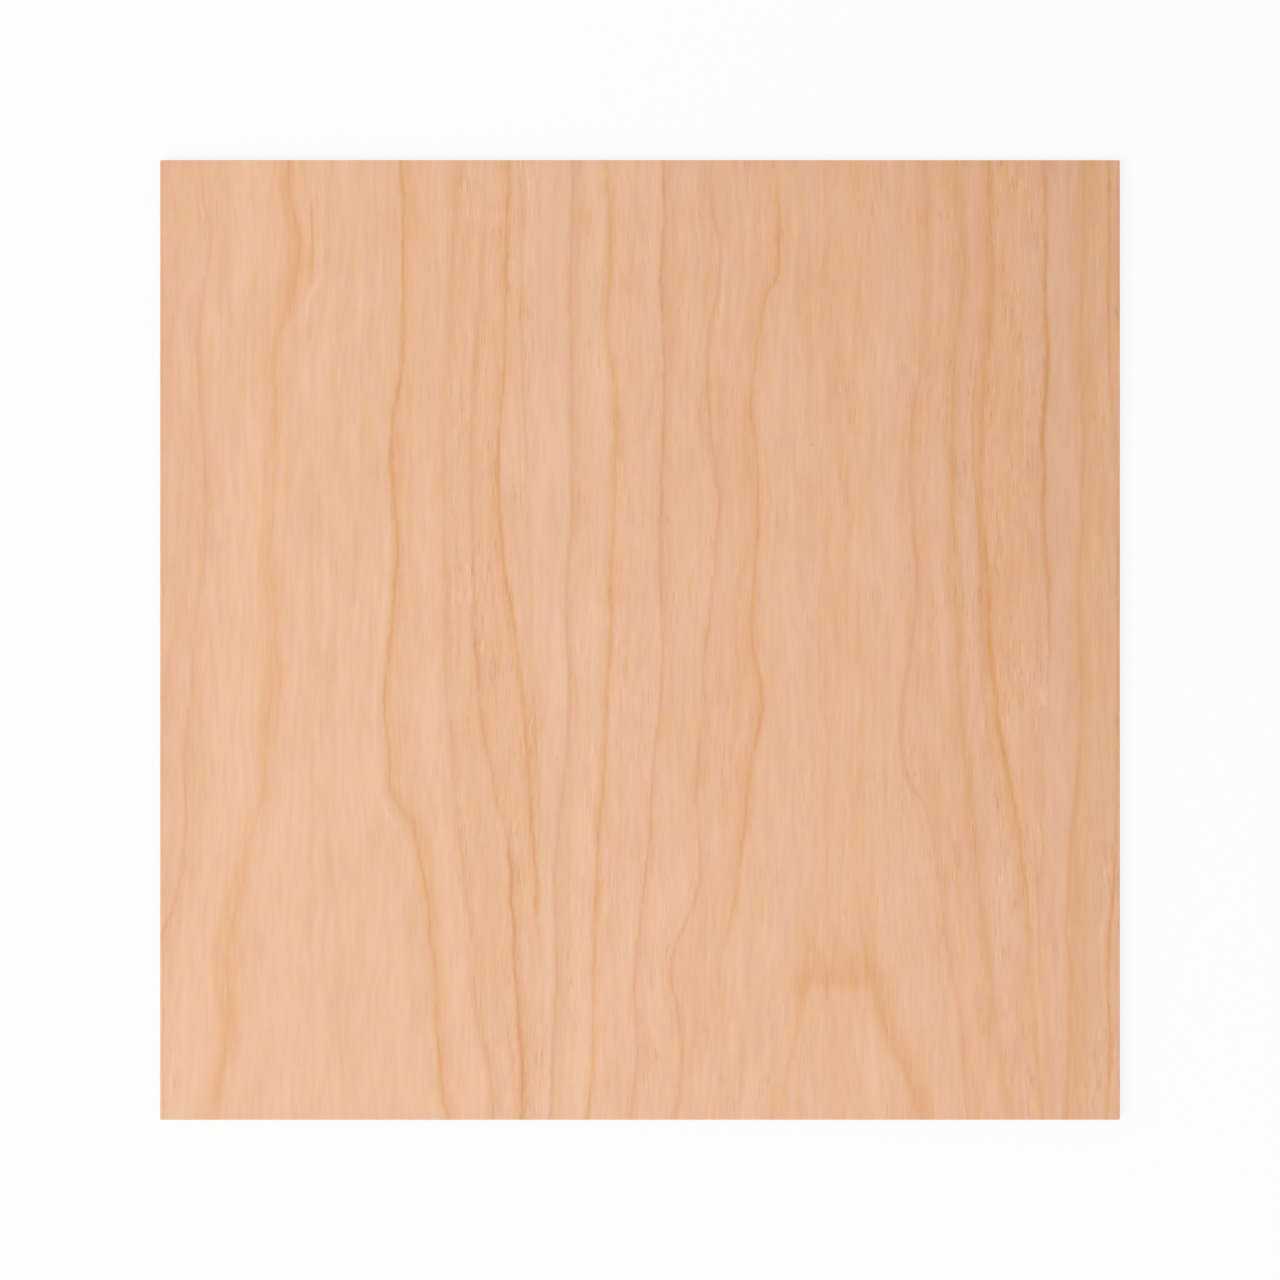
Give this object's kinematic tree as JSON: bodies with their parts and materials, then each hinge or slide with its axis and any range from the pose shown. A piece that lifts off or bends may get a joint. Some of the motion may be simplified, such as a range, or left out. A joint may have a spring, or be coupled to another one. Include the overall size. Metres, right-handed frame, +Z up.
{
  "type": "plywood sheet",
  "caption": "Flat square sheet of plywood with a plain-sliced cherry show face and eased edges, stock for panels, boxes and cut parts.",
  "frame": {"origin": "middle of the underside, on the surface that the sheet lies on", "axes": "+Z up, out of the show face; +Y along the grain of the show face; +X across that grain"},
  "size_m": [0.3, 0.3, 0.006],
  "materials": {
    "cherry_plywood": "sanded bare cherry veneer, not oiled or varnished"
  },
  "bodies": {
    "root": {"plywood_sheet": "cherry_plywood"}
  },
  "joints": []
}
